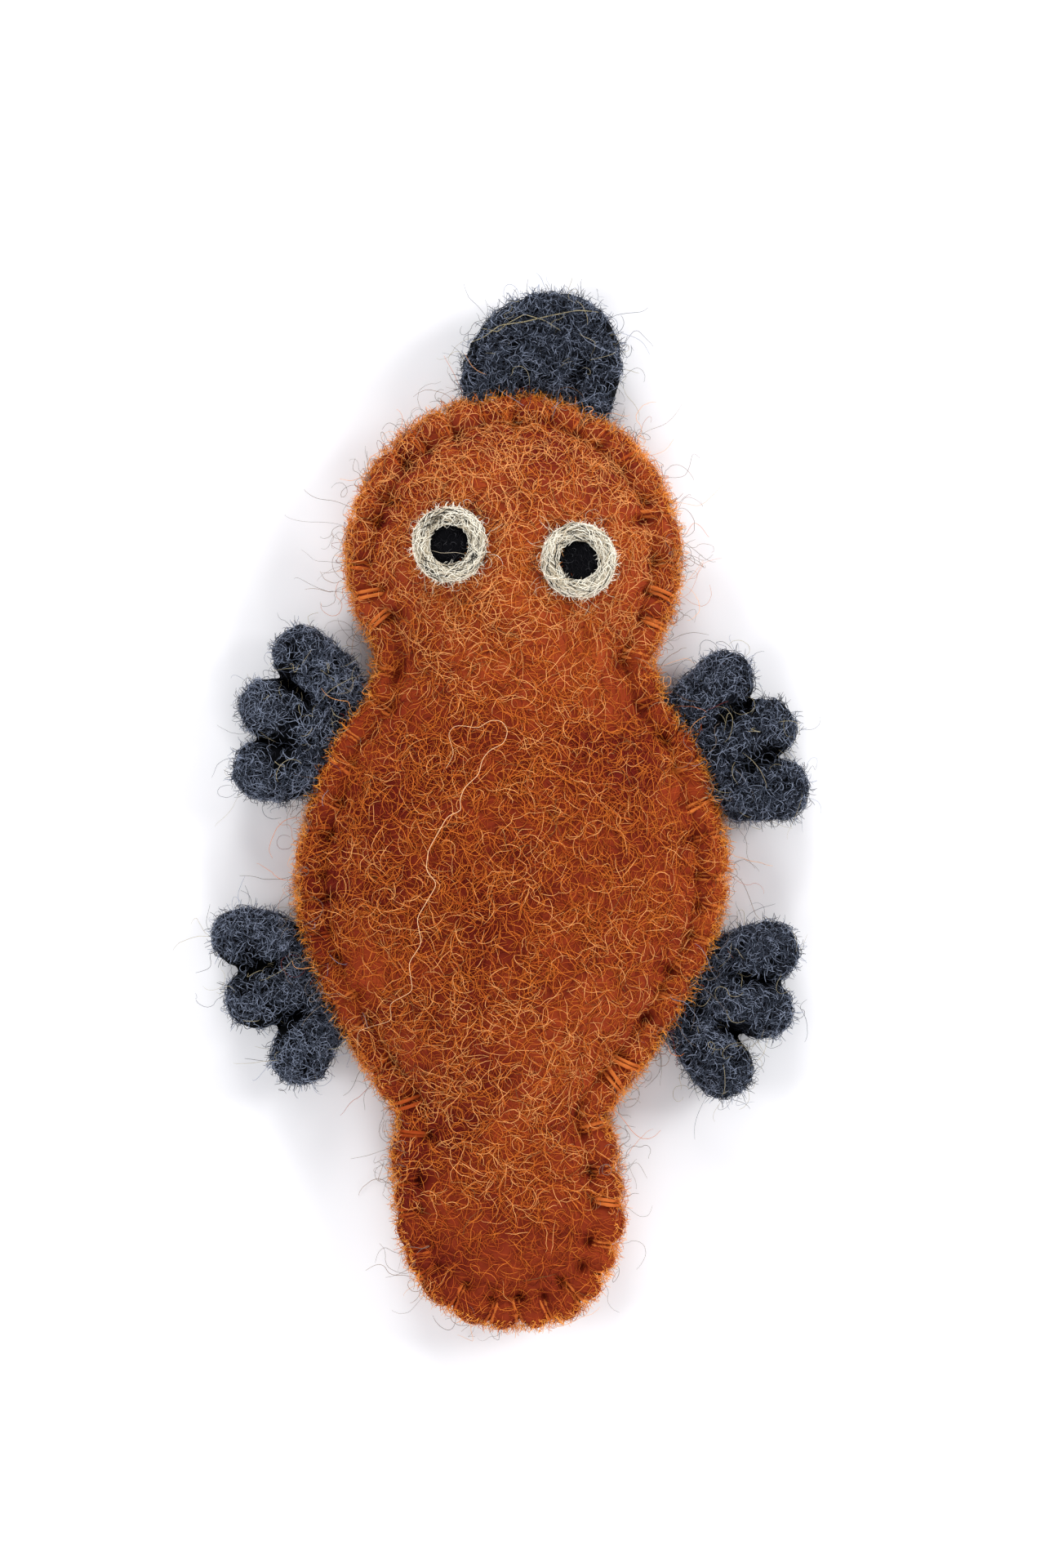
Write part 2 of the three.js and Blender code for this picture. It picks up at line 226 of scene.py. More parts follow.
def add_node(tree, kind, inputs=(), **settings):
    """A shader node's outputs. Its inputs are values, or the outputs of other nodes."""
    made = tree.nodes.new("ShaderNode" + kind)
    for key, value in settings.items():
        setattr(made, key, value)
    for key, value in dict(inputs).items():
        if isinstance(value, bpy.types.NodeSocket):
            tree.links.new(value, made.inputs[key])
        else:
            made.inputs[key].default_value = value
    return made.outputs


def felt(name, deep, middle, light, scale=1.0):
    """Matted wool: a maze of fine curled ridges over darker hollows, mottled at two sizes."""
    material, tree, shader = new_material(name)
    place_on_felt = add_node(tree, "TexCoord")["Object"]

    def wool_noise(size, detail, vector=place_on_felt, more=(), **settings):
        inputs = {"Vector": vector, "Scale": size, "Detail": detail, **dict(more)}
        return add_node(tree, "TexNoise", inputs, **settings)

    def weigh(value, weight, other):
        inputs = {0: value, 1: weight, 2: other}
        return add_node(tree, "Math", inputs, operation="MULTIPLY_ADD")[0]

    swirl = wool_noise(420 * scale, 2.0)["Color"]
    curled = {0: swirl, 1: (0.0022, 0.0022, 0.0022), 2: place_on_felt}
    curled = add_node(tree, "VectorMath", curled, operation="MULTIPLY_ADD")[0]
    finer = {"Roughness": 0.6, "Lacunarity": 2.1}
    ridges = wool_noise(900 * scale, 3.0, curled, finer, noise_type="RIDGED_MULTIFRACTAL")
    height = {"Value": ridges["Fac"], "From Min": 0.2, "From Max": 1.9}
    height = add_node(tree, "MapRange", height)["Result"]
    mottled = weigh(wool_noise(170.0, 4.0)["Fac"], 0.55, wool_noise(45.0, 2.0)["Fac"])
    mottled = {0: weigh(height, 0.7, mottled), 1: 0.5}
    mottled = add_node(tree, "Math", mottled, operation="SUBTRACT")[0]

    ramp = tree.nodes.new("ShaderNodeValToRGB")
    ramp.color_ramp.elements[0].position = 0.12
    ramp.color_ramp.elements[0].color = (*deep, 1)
    ramp.color_ramp.elements[1].position = 0.85
    ramp.color_ramp.elements[1].color = (*light, 1)
    ramp.color_ramp.elements.new(0.45).color = (*middle, 1)
    tree.links.new(mottled, ramp.inputs["Fac"])

    shade = add_node(tree, "Attribute", attribute_name="shade")["Color"]
    colour = {"Factor": 1.0, "A": ramp.outputs["Color"], "B": shade}
    colour = add_node(tree, "Mix", colour, data_type="RGBA", blend_type="MULTIPLY")["Result"]
    bump = {"Strength": 0.9, "Distance": 0.00035, "Height": height}
    bump = add_node(tree, "Bump", bump)["Normal"]
    tree.links.new(colour, shader.inputs["Base Color"])
    tree.links.new(bump, shader.inputs["Normal"])
    shader.inputs["Roughness"].default_value = 0.95
    shader.inputs["Specular IOR Level"].default_value = 0.05
    return material


rust_felt = felt("rust_felt", (0.12, 0.011, 0.006), (0.27, 0.038, 0.011), (0.45, 0.09, 0.018))
grey_felt = felt("grey_felt", (0.002, 0.0024, 0.0035), (0.008, 0.010, 0.015), (0.028, 0.033, 0.048))
cream_felt = felt("cream_felt", (0.16, 0.13, 0.09), (0.50, 0.44, 0.33), (0.78, 0.72, 0.60), 1.4)
black_felt = felt("black_felt", (0.001, 0.001, 0.0013), (0.003, 0.003, 0.004), (0.010, 0.010, 0.012))
yarn = felt("rust_yarn", (0.34, 0.055, 0.011), (0.66, 0.19, 0.04), (0.86, 0.37, 0.12), 1.5)

rust_fibres = plain_fibres({
    "rust_fibre_pale": (0.91, 0.42, 0.14),
    "rust_fibre_light": (0.67, 0.188, 0.027),
    "rust_fibre_middle": (0.45, 0.083, 0.012),
    "rust_fibre_deep": (0.20, 0.020, 0.008),
    "rust_fibre_brown": (0.20, 0.10, 0.035),
    "stray_hair": (0.22, 0.18, 0.15),
    "rust_fibre_gold_painted_rim_light": (0.95, 0.38, 0.05),
})
grey_fibres = plain_fibres({
    "grey_fibre_pale": (0.27, 0.31, 0.41),
    "grey_fibre_middle": (0.060, 0.072, 0.102),
    "grey_fibre_deep": (0.010, 0.011, 0.016),
    "straw_fibre": (0.42, 0.36, 0.22),
})
cream_fibres = plain_fibres({
    "cream_fibre_light": (1.0, 0.95, 0.82),
    "cream_fibre_middle": (0.68, 0.58, 0.43),
    "dark_fibre": (0.02, 0.018, 0.015),
})
black_fibres = plain_fibres({
    "black_fibre": (0.006, 0.006, 0.008),
    "black_fibre_worn": (0.05, 0.05, 0.055),
})

# ------------ meshes


def new_object(name, data):
    made = bpy.data.objects.new(name, data)
    scene.collection.objects.link(made)
    return made


def mesh_object(name, points, faces, materials):
    """A smooth mesh. Its points are in metres."""
    mesh = bpy.data.meshes.new(name)
    mesh.from_pydata(np.asarray(points).tolist(), [], faces)
    for material in materials:
        mesh.materials.append(material)
    mesh.polygons.foreach_set("use_smooth", [True] * len(mesh.polygons))
    return new_object(name, mesh)


def ring_quads(rings, around, first=0, closed=False):
    """Faces between one ring of points and the next, and from the last to the first if closed."""
    faces = []
    for k in range(rings if closed else rings - 1):
        here = first + k * around
        there = first + (k + 1) % rings * around
        for j in range(around):
            after = (j + 1) % around
            faces.append((here + j, there + j, there + after, here + after))
    return faces


def points_of(mesh, what):
    """The places or normals of a mesh's points."""
    values = np.empty(len(mesh.vertices) * 3, np.float32)
    mesh.vertices.foreach_get(what, values)
    return values.reshape(-1, 3).astype(float)


def set_shade(obj, values, warmth=1.0):
    """Painted light and shade: how much of its colour each point keeps: 1 on open felt, less and redder
    in a dent as painted shade, more where light is painted.
    """
    attribute = obj.data.attributes.new("shade", "FLOAT_COLOR", "POINT")
    shades = np.ones((len(obj.data.vertices), 4), np.float32)
    shades[:, :3] = np.asarray(values, np.float32).reshape(-1, 1)
    shades[:, 0] **= warmth
    attribute.data.foreach_set("color", shades.ravel())


def surface_of(*objects):
    """The surface of one or more meshes together, for laying fibres on."""
    points, faces = [], []
    for obj in objects:
        base = len(points)
        points += [v.co.copy() for v in obj.data.vertices]
        faces += [tuple(base + i for i in p.vertices) for p in obj.data.polygons]
    return BVHTree.FromPolygons(points, faces)


# ------------ the sewn outline


def half_width(y):
    """Three ovals melted into one curve, fuller at the shoulders and drawn in at the hips."""
    y = np.asarray(y, float)
    total = np.zeros_like(y)
    for oval in (HEAD, TORSO, TAIL):
        across = np.clip(1 - np.abs((y - oval["y"]) / oval["ry"]) ** oval["power"], 0, None)
        total = total + (oval["rx"] * across ** (1 / oval["power"])) ** MELT_POWER
    nudge = sum(out * np.exp(-(((y - height) / reach) ** 2)) for height, reach, out in NUDGES)
    return total ** (1 / MELT_POWER) + nudge


def midline(y):
    return np.interp(y, MIDLINE_Y, MIDLINE_X)


def station_y(v):
    """0 at the top of the head to 1 at the tail's tip, closer together at both ends."""
    return (TOP_Y + BOTTOM_Y) / 2 + (TOP_Y - BOTTOM_Y) / 2 * np.cos(np.pi * v)


def outline():
    """The closed outline, evenly spaced: points, outward normals and length along it."""
    y = station_y(np.linspace(0, 1, 1200))
    right = np.stack([midline(y) + half_width(y), y], 1)
    left = np.stack([midline(y) - half_width(y), y], 1)[::-1]
    loop = np.concatenate([right, left[1:]])
    run = np.concatenate([[0], np.cumsum(np.linalg.norm(np.diff(loop, axis=0), axis=1))])
    along = np.linspace(0, run[-1], EDGE_POINTS, endpoint=False)
    points = np.stack([np.interp(along, run, loop[:, k]) for k in (0, 1)], 1)
    tangent = np.roll(points, -1, 0) - np.roll(points, 1, 0)
    tangent /= np.linalg.norm(tangent, axis=1)[:, None]
    normals = np.stack([-tangent[:, 1], tangent[:, 0]], 1)
    return points, normals, along, run[-1]


edge, edge_normal, edge_along, edge_length = outline()
edge_tree = kdtree.KDTree(len(edge))
for index, (ex, ey) in enumerate(edge):
    edge_tree.insert((ex, ey, 0), index)
edge_tree.balance()


def from_edge(xy):
    """Distance inside the outline, place along it, and the outward normal there."""
    found = np.array([edge_tree.find((x, y, 0))[1] for x, y in xy])
    away = edge[found] - xy
    normal = edge_normal[found]
    plane = (away * normal).sum(1)
    distance = np.where(np.abs(plane) < 3, plane, np.linalg.norm(away, axis=1))
    return distance, edge_along[found], normal


stitch_count = round(edge_length / STITCH_PITCH)
stitch_at = (np.arange(stitch_count) + rng.uniform(-0.24, 0.24, stitch_count)) * (
    edge_length / stitch_count
)
stitch_depth = DENT_DEPTH_IN + rng.uniform(-1.1, 0.5, stitch_count)
stitch_pull = rng.uniform(0.15, 1.0, stitch_count)
stitch_slant = rng.uniform(-0.25, 0.25, stitch_count)


def bareness(xy):
    spots = np.array(BARE_YARN)
    apart = np.linalg.norm(xy[:, None] - spots[None, :, :2], axis=2)
    return np.exp(-((apart / spots[:, 2]) ** 4)).max(1)


def from_stitch(along):
    """Index of the nearest stitch, signed distance from it, and 0 to 1 across the bulge."""
    gaps = along[:, None] - stitch_at[None, :]
    gaps = (gaps + edge_length / 2) % edge_length - edge_length / 2
    nearest = np.abs(gaps).argmin(1)
    gap = gaps[np.arange(len(along)), nearest]
    return nearest, gap, np.sin(np.clip(np.abs(gap) / STITCH_PITCH, 0, 0.5) * np.pi)


# ------------ body panels


def pocket_height(xy, distance):
    y = xy[:, 1]
    reach = half_width(np.clip(y, TAIL["y"], HEAD["y"]))
    inside = np.clip((distance - SEAM_WIDTH) / (reach - SEAM_WIDTH), 0, 1)
    dome = (1 - (1 - inside) ** 2) ** 0.8
    full = smoothstep((y - TAIL_BACK_Y + 2) / (HEM_Y + 4 - TAIL_BACK_Y))
    rise = POCKET_RISE * half_width(np.minimum(y, HEAD["y"]))
    return (TAIL_RISE + (rise - TAIL_RISE) * full) * dome


def rounded(distance, radius):
    """A felt edge's quarter round: 0 at the edge, 1 beyond the radius."""
    return np.sqrt(np.clip(1 - (1 - np.clip(distance / radius, 0, 1)) ** 2, 0, 1))


def lumps(points, size, seed):
    """Smooth noise from -1 to 1, for felt that is nowhere quite flat."""
    spots = np.zeros((len(points), 3))
    spots[:, : points.shape[1]] = points / size
    return np.array([noise.noise(spot) for spot in spots + seed])


def relief(xy):
    """What the stitches do to the felt: where points move sideways, and up, and the painted shade."""
    distance, along, normal = from_edge(xy)
    nearest, gap, bulge = from_stitch(along)
    depth = stitch_depth[nearest]
    tail = smoothstep((WAIST_Y - 6 - xy[:, 1]) / 10)
    pull = 0.4 + 0.8 * stitch_pull[nearest]
    sideways = SCALLOP * (1 + 0.7 * tail) * (0.75 - 2 * pull * (1 - bulge**0.8))
    sideways *= np.exp(-((np.clip(distance, 0, None) / 2.4) ** 2))
    border = np.clip(distance / depth, 0, 1)
    roll = np.sin(border * np.pi) * (0.24 * bulge - 0.02)
    groove = 0.28 * np.exp(-((gap / 0.8) ** 2)) * (distance < depth) * rounded(distance, 2)
    to_dent = np.hypot(gap * 0.85, distance - depth) + 0.25 * lumps(xy, 1.2, 14.0)
    dent = stitch_pull[nearest] * np.exp(-((to_dent / 1.1) ** 2))
    up = roll - groove - 0.9 * dent
    # Painted shade in the dents and the grooves by the stitches, over the dents' own darker red.
    shade = 1 - 0.62 * dent - 0.4 * groove
    return distance, sideways[:, None] * normal, up, np.clip(shade, 0.1, 1)


def panel_grid(rows, columns, first_y, last_y):
    """A grid over the outline between two heights: rows of points from edge to edge."""
    v = np.linspace(0, 1, rows)
    y = station_y(v)
    y = y[(y <= first_y + 1e-6) & (y >= last_y - 1e-6)]
    y = np.concatenate([[first_y], y[1:-1], [last_y]])
    u = np.linspace(-1, 1, columns)
    across = np.sign(u) * (1 - (1 - np.abs(u)) ** 1.6)
    x = midline(y)[:, None] + half_width(y)[:, None] * across[None, :]
    return np.stack([x, np.repeat(y[:, None], columns, 1)], 2)


def closed_sheet(name, grid, upper, lower, shift, shade, material):
    """Two skins over one grid, joined all round; the straight cut ends are creased."""
    rows, columns = grid.shape[:2]
    flat = grid.reshape(-1, 2) + shift
    top = np.arange(rows * columns).reshape(rows, columns)
    rim = np.zeros((rows, columns), bool)
    rim[:, 0] = rim[:, -1] = True
    inner = ~rim
    bottom = top.copy()
    bottom[inner] = rows * columns + np.arange(inner.sum())
    points = np.concatenate(
        [
            np.column_stack([flat, np.where(rim.ravel(), (upper + lower) / 2, upper)]),
            np.column_stack([flat, lower])[inner.ravel()],
        ]
    )

    def quads(index, flip):
        q = np.stack([index[:-1, :-1], index[1:, :-1], index[1:, 1:], index[:-1, 1:]], 2)
        return q.reshape(-1, 4)[:, ::-1] if flip else q.reshape(-1, 4)

    def end(row, flip):
        q = np.stack([top[row, :-1], top[row, 1:], bottom[row, 1:], bottom[row, :-1]], 1)
        return q[:, ::-1] if flip else q

    faces = [quads(top, False), quads(bottom, True), end(0, False), end(-1, True)]
    polygons = [list(dict.fromkeys(f)) for f in np.concatenate(faces).tolist()]
    polygons = [f for f in polygons if len(f) > 2]
    panel = mesh_object(name, place(points), polygons, [material])
    shades = np.concatenate([shade, np.minimum(shade, 1)[inner.ravel()]])
    set_shade(panel, shades, 0.6)
    sharp_ends(panel, {tuple(sorted(e)) for row in (top[0], top[-1], bottom[0], bottom[-1])
                       for e in zip(row[:-1].tolist(), row[1:].tolist())})
    return panel


def sharp_ends(obj, keys):
    """Keeps a cut end from bending the shading of the skin beside it."""
    marks = [tuple(sorted(e.vertices)) in keys for e in obj.data.edges]
    attribute = obj.data.attributes.new("sharp_edge", "BOOLEAN", "EDGE")
    attribute.data.foreach_set("value", marks)


def front_panel(name, first_y, last_y):
    grid = panel_grid(*FRONT_GRID, first_y, last_y)
    xy = grid.reshape(-1, 2)
    distance, shift, up, shade = relief(xy)
    pocket = pocket_height(xy, distance)
    soft = 0.22 * lumps(xy, 4.5, 3.0) + 0.09 * lumps(xy, 1.5, 8.0)
    round_off = rounded(distance, EDGE_RADIUS)
    upper = SEAM_Z + pocket + (FELT + 0.15) * round_off + (up + soft) * round_off
    lower = SEAM_Z + 0.1 + pocket * rounded(distance - 1, 4)
    lower = np.minimum(lower, upper)
    # Painted light: paler on the head and the hips.
    shade = shade * np.interp(xy[:, 1], PAINTED_LIGHT_Y, PAINTED_LIGHT)
    return closed_sheet(name, grid, upper, lower, shift, shade, rust_felt)


def back_panel(name, first_y, last_y):
    grid = panel_grid(*BACK_GRID, first_y, last_y)
    xy = grid.reshape(-1, 2)
    distance, shift, up, shade = relief(xy)
    drop = BELLY_DROP * smoothstep((distance - SEAM_WIDTH) / SEAM_WIDTH)
    round_off = rounded(distance, EDGE_RADIUS)
    upper = SEAM_Z - 0.1 - drop
    lower = SEAM_Z - drop - (FELT + 0.1) * round_off + 0.6 * np.minimum(up, 0) * round_off
    lower = np.clip(lower, 0.0, None)
    upper = np.maximum(upper, lower)
    return closed_sheet(name, grid, upper, lower, shift, shade, rust_felt)


def seam_strip(name, side):
    """The back panel's border beside the finger's opening, from one hem to the other."""
    y = np.linspace(HEM_Y + 0.6, TAIL_BACK_Y - 0.6, 60)
    inward = np.linspace(0, SEAM_WIDTH, 14)
    x = midline(y)[:, None] + side * (half_width(y)[:, None] - inward[None, :])
    grid = np.stack([x, np.repeat(y[:, None], len(inward), 1)], 2)
    if side > 0:
        grid = grid[:, ::-1]
    xy = grid.reshape(-1, 2)
    distance, shift, _, shade = relief(xy)
    round_off = rounded(distance, EDGE_RADIUS) * rounded(SEAM_WIDTH + 0.3 - distance, 0.8)
    upper = np.full_like(distance, SEAM_Z - 0.25)
    lower = SEAM_Z - 0.3 - (FELT - 0.1) * round_off
    return closed_sheet(name, grid, upper, lower, shift, shade, rust_felt)


def outline_size(first_y, last_y):
    """Width, length and area of a stretch of the outline, laid flat, in metres."""
    y = np.linspace(last_y, first_y, 800)
    width = 2 * half_width(y) * MM
    length = (y[-1] - y[0]) * MM
    return float(width.max()), float(length), float(width.mean() * length)


def bend_at_neck(piece):
    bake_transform(piece)


def bend_at_waist(piece):
    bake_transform(piece)


front_upper = front_panel("felt_front_upper", TOP_Y, PANEL_SPLIT_Y)
front_lower = front_panel("felt_front_lower", PANEL_SPLIT_Y, BOTTOM_Y)
back_upper = back_panel("felt_back_upper", TOP_Y, HEM_Y)
back_tail = back_panel("felt_back_tail", TAIL_BACK_Y, BOTTOM_Y)
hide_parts("front_panel_head", "front_panel_torso")
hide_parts("front_panel_torso", "front_panel_tail")
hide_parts("back_panel_head", "back_panel_torso")
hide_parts("back_panel_tail")

# ------------ fibres


def tubes(name, paths, radii, tones, materials):
    """Many thin three-sided fibres as one mesh. paths: fibre, point, xyz in metres."""
    paths = np.asarray(paths, float)
    count, steps = paths.shape[:2]
    along = np.gradient(paths, axis=1)
    along /= np.linalg.norm(along, axis=2, keepdims=True) + 1e-12
    guide = np.where(np.abs(along[..., 2:3]) > 0.9, [1.0, 0, 0], [0, 0, 1.0])
    side = np.cross(along, guide)
    side /= np.linalg.norm(side, axis=2, keepdims=True) + 1e-12
    lift = np.cross(side, along)
    taper = 0.35 + 0.65 * np.sin(np.linspace(0.12, math.pi - 0.12, steps)) ** 0.6
    reach = radii[:, None, None] * taper[None, :, None]
    rings = [
        paths + reach * (math.cos(a) * side + math.sin(a) * lift)
        for a in (math.pi / 2, math.pi / 2 + 2.094, math.pi / 2 + 4.189)
    ]
    points = np.stack(rings, 2).reshape(-1, 3)
    start = (np.arange(count) * steps * 3)[:, None] + (np.arange(steps - 1) * 3)[None, :]
    sides = [(0, 1), (1, 2), (2, 0)]
    quads = np.stack(
        [np.stack([start + a, start + b, start + b + 3, start + a + 3], 2) for a, b in sides], 2
    ).reshape(-1, 4)
    first = np.arange(count) * steps * 3
    last = first + (steps - 1) * 3
    caps = [(first + 2, first + 1, first), (last, last + 1, last + 2)]
    triangles = np.concatenate([np.stack(c, 1) for c in caps])
    made = mesh_object(name, points, quads.tolist() + triangles.tolist(), materials)
    fibre = np.arange(count)
    of_fibre = np.concatenate([np.repeat(fibre, (steps - 1) * 3), fibre, fibre])
    made.data.polygons.foreach_set("material_index", np.asarray(tones)[of_fibre])
    return made


def random_roots(obj, count, keep=None):
    """Area-weighted random points on a mesh, with their normals."""
    mesh = obj.data
    mesh.calc_loop_triangles()
    corners = np.array([t.vertices for t in mesh.loop_triangles])
    points = points_of(mesh, "co")
    a, b, c = (points[corners[:, k]] for k in range(3))
    cross = np.cross(b - a, c - a)
    area = np.linalg.norm(cross, axis=1)
    if keep is not None:
        area = area * keep(cross / (area[:, None] + 1e-15))
    picked = rng.choice(len(area), count, p=area / area.sum())
    u, v = rng.random((2, count))
    flip = u + v > 1
    u[flip], v[flip] = 1 - u[flip], 1 - v[flip]
    roots = a[picked] + u[:, None] * (b - a)[picked] + v[:, None] * (c - a)[picked]
    return roots, cross[picked] / (area[picked][:, None] + 1e-15)


def laid_fibres(surface, roots, steps, length, lift, curl):
    """Curly paths that wander over a surface, rising off it and settling back."""
    paths = np.empty((len(roots), steps, 3))
    rise = np.sin(np.linspace(0, math.pi, steps))
    for i, root in enumerate(roots):
        position, normal = surface.find_nearest(Vector(root))[:2]
        heading = normal.orthogonal().normalized()
        heading.rotate(Matrix.Rotation(rng.uniform(0, 2 * math.pi), 3, normal))
        step = rng.uniform(*length) * MM / (steps - 1)
        turn = curl * rng.uniform(0.1, 1.5) * rng.choice((-1, 1))
        top = rng.uniform(*lift) * MM
        wobble = rng.normal(0, 0.28, steps)
        for k in range(steps):
            paths[i, k] = position + normal * (top * rise[k] - 0.04 * MM)
            heading = (heading - normal * heading.dot(normal)).normalized()
            heading.rotate(Matrix.Rotation(turn + wobble[k], 3, normal))
            position, normal = surface.find_nearest(position + heading * step)[:2]
    return paths


def loose_fibres(roots, normals, steps, length, curl, lean=0.5, floor=0.15):
    """Paths that stand off the surface and curl freely, but not through the table."""
    count = len(roots)
    heading = normals + rng.normal(0, lean, (count, 3))
    heading /= np.linalg.norm(heading, axis=1)[:, None]
    axis = rng.normal(0, 1, (count, 3))
    axis /= np.linalg.norm(axis, axis=1)[:, None]
    turn = curl * rng.uniform(0.3, 1.6, count) * rng.choice((-1, 1), count)
    step = rng.uniform(*length, count) * MM / (steps - 1)
    paths = np.empty((count, steps, 3))
    position = np.array(roots)
    for k in range(steps):
        paths[:, k] = position
        turn = np.where(rng.random(count) < 0.06, -turn, turn)
        spin = (turn + rng.normal(0, curl * 0.4, count))[:, None]
        heading = heading * np.cos(spin) + np.cross(axis, heading) * np.sin(spin)
        heading /= np.linalg.norm(heading, axis=1)[:, None]
        position = position + heading * step[:, None]
        position[:, 2] = np.maximum(position[:, 2], floor * MM)
    return paths


def tone_of(count, weights):
    return rng.choice(len(weights), count, p=np.array(weights) / sum(weights))


def mixed_fibres(name, paths, radius, weights, materials):
    """Fibres of a random thickness and tone."""
    radii = rng.uniform(*radius, len(paths)) * MM
    return tubes(name, paths, radii, tone_of(len(paths), weights), materials)


def shown(count):
    return count


def split_at(paths, y):
    """True for fibres whose middle is above that line."""
    return paths[:, paths.shape[1] // 2, 1] > y * MM + ORIGIN[1]


def upward(normals):
    return np.clip(normals[:, 2] + 0.25, 0, 1)


def growth(xy, shade):
    """How thickly the curls stand: in patches, thin in the dents and on the end of the tail."""
    patches = np.clip(0.75 + 0.7 * lumps(xy, 5.5, 21.0), 0.2, 1)
    worn = 1 - 0.5 * smoothstep((WORN_Y - xy[:, 1]) / 5)
    return patches * worn * shade


def clear_of_yarn(xy):
    """Few fibres grow through the stitches."""
    distance, along, _ = from_edge(xy)
    nearest, gap, _ = from_stitch(along)
    cleared = (0.4 + 0.58 * bareness(xy)) * (distance < stitch_depth[nearest])
    return 1 - cleared * np.exp(-((gap / 0.9) ** 4))


def local_tone(tones, xy, shade):
    """On the head and hips some fibres are a tone lighter as painted light, on the tail darker, in dents
    deep as painted shade over the felt's own darker red.
    """
    # Painted light: a tone lighter on the head and hips.
    lift = rng.random(len(tones)) < 2.2 * (np.interp(xy[:, 1], PAINTED_LIGHT_Y, PAINTED_LIGHT) - 1)
    sink = rng.random(len(tones)) < 0.75 * smoothstep((WORN_Y - xy[:, 1]) / 5)
    # Painted shade: fibres in the dents take the deep tone.
    in_dent = rng.random(len(tones)) < 1.7 * (0.92 - shade)
    tones = np.where(lift & (tones > 0) & (tones < 4), tones - 1, tones)
    tones = np.where(sink & (tones < 2), tones + 1, tones)
    return np.where(in_dent, 3, tones)


def body_mat(panel, name, bend, area):
    for layer, (tones, lift, length, radius, density) in MAT_LAYERS.items():
        count = shown(int(density * area * 1e6))
        roots, _ = random_roots(panel, count, upward)
        xy = (roots[:, :2] - ORIGIN[:2]) / MM
        shade = relief(xy)[3]
        thickness = clear_of_yarn(xy) * (growth(xy, shade) if layer == "top" else 1)
        kept = rng.random(count) < thickness
        roots, xy, shade = roots[kept], xy[kept], shade[kept]
        paths = laid_fibres(front_surface, roots, 8, length, lift, 0.26)
        fibres = tubes(f"{name}_{layer}", paths, rng.uniform(*radius, len(roots)) * MM,
                       local_tone(tone_of(len(roots), tones), xy, shade), rust_fibres)
        bend(fibres)


front_surface = surface_of(front_upper, front_lower)
body_mat(front_upper, "felt_fibres_upper", bend_at_neck, outline_size(TOP_Y, PANEL_SPLIT_Y)[2])
body_mat(front_lower, "felt_fibres_lower", bend_at_waist, outline_size(PANEL_SPLIT_Y, BOTTOM_Y)[2])


def edge_roots(count, missing):
    """Random places round the seam, with outward directions; some are missing on the tail."""
    picked = rng.integers(0, len(edge), count)
    fewer = rng.random(count) < missing * smoothstep((WORN_Y - edge[picked, 1]) / 6)
    picked[fewer] = rng.integers(0, len(edge), fewer.sum())
    height = rng.uniform(0.8, 6.4, count)
    inward = 1.6 * (1 - np.sqrt(np.clip(1 - ((height - SEAM_Z) / 2.9) ** 2, 0, 1)))
    flat = edge[picked] - edge_normal[picked] * inward[:, None]
    normals = np.column_stack([edge_normal[picked], (height - SEAM_Z) * 0.25])
    return place(np.column_stack([flat, height])), normals


def fringe(name, count, steps, length, curl, radius, tones, lean, missing):
    roots, normals = edge_roots(count, missing)
    paths = loose_fibres(roots, normals, steps, length, curl, lean)
    radii = rng.uniform(*radius, count) * MM
    tone = tone_of(count, tones)
    for part, chosen, bend in (
        ("upper", split_at(paths, PANEL_SPLIT_Y), bend_at_neck),
        ("lower", ~split_at(paths, PANEL_SPLIT_Y), bend_at_waist),
    ):
        fibres = tubes(f"{name}_{part}", paths[chosen], radii[chosen], tone[chosen], rust_fibres)
        bend(fibres)


# Most of the fuzz round the seam takes the gold tone: painted light where the rim catches the lamps.
fringe("edge_fuzz", shown(EDGE_FUZZ), 6, (0.5, 1.7), 0.4, (0.024, 0.038),
       (0.16, 0.28, 0.08, 0.02, 0.0, 0.0, 0.46), 0.75, 0.0)
fringe("edge_strays", shown(EDGE_STRAYS), 20, (3.0, 9.5), 0.42, (0.018, 0.034),
       (0.08, 0.08, 0.04, 0.04, 0.16, 0.6), 0.7, 0.6)

# ------------ whipstitching


def edge_index(along):
    return int(along / edge_length * len(edge)) % len(edge)


def drop_to(surface, point):
    """The place and normal where a line straight down from a point meets a surface."""
    return surface.ray_cast(Vector(point), Vector((0, 0, -1)))[:2]


def let_down(surface, points, lift):
    """A path let down on to a surface, which it crosses level where there is nothing below."""
    path = []
    for x, y, z in points:
        hit = drop_to(surface, (x, y, z))[0]
        path.append((x, y, hit.z + lift * MM if hit else path[-1][2]))
    return path


